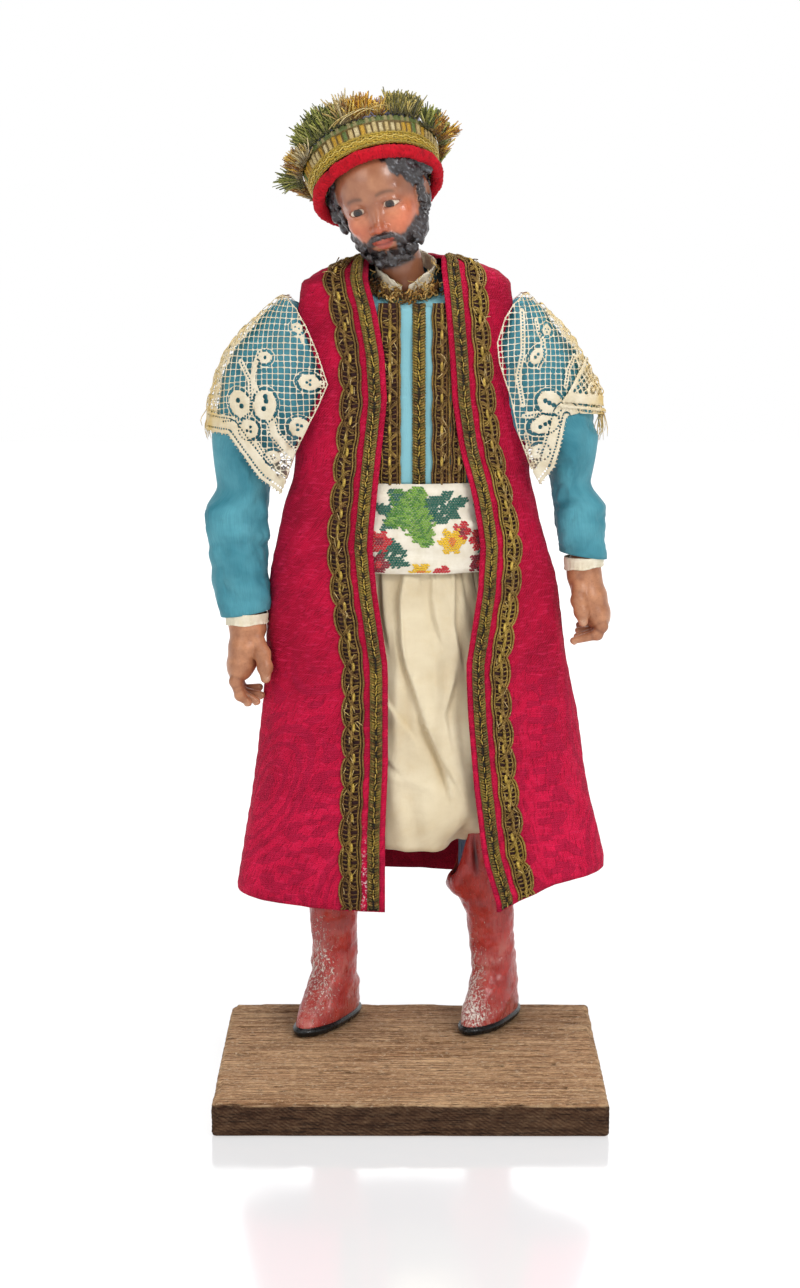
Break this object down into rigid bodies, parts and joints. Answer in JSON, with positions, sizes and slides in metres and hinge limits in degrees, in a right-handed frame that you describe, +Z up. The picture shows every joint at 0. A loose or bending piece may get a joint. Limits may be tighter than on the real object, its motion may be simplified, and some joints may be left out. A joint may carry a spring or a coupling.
{
  "type": "presepe figure",
  "caption": "Standing presepe man with tilted head, curly beard, fringed hat, crimson braided coat, lace on the shoulders, sash, full trousers and red boots on a bare board.",
  "frame": {"origin": "centre of the board's underside", "axes": "+Z up, the figure faces -Y, the figure's left side towards +X"},
  "size_m": [0.1657, 0.1408, 0.4001],
  "materials": {
    "weathered_wood": "bare weathered board with open grain",
    "painted_boot": "worn red paint over white ground, glossy black sole",
    "painted_wood_skin": "satin flesh paint",
    "painted_terracotta": "glossy flesh paint, dark grey hair and beard",
    "shirt_linen": "fine plain weave",
    "cream_silk": "soft pleated silk",
    "embroidered_sash": "ivory tabby with stitched leaves and flowers",
    "teal_satin": "satin",
    "crimson_twill": "twill with a tonal damask",
    "crimson_wool": "rolled cloth",
    "gilt_braid": "tarnished metal thread",
    "gilt_galloon": "woven metal-thread band",
    "silk_fringe": "loose tufts of green, ochre and beige silk",
    "lavender_cloth": "soft cloth",
    "ecru_lace": "bobbin lace, yellowed at its outer fold"
  },
  "bodies": {
    "root": {"base_board": "weathered_wood", "right_leg": "painted_boot", "left_leg": "painted_boot", "trousers": "cream_silk", "sash": "embroidered_sash", "jacket": "teal_satin", "right_hand": "painted_wood_skin", "left_hand": "painted_wood_skin", "right_cuff": "shirt_linen", "left_cuff": "shirt_linen", "head": "painted_terracotta", "shirt_collar": "shirt_linen", "collar_frill": "gilt_braid", "hat_roll": "crimson_wool", "hat_band": "gilt_galloon", "hat_fringe": "silk_fringe", "hat_crown": "lavender_cloth", "coat": "crimson_twill", "right_lace": "ecru_lace", "left_lace": "ecru_lace", "right_straight_braid": "gilt_braid", "left_straight_braid": "gilt_braid", "right_scalloped_braid": "gilt_braid", "left_scalloped_braid": "gilt_braid", "right_chest_braid": "gilt_braid", "centre_chest_braid": "gilt_braid", "left_chest_braid": "gilt_braid"}
  },
  "joints": []
}
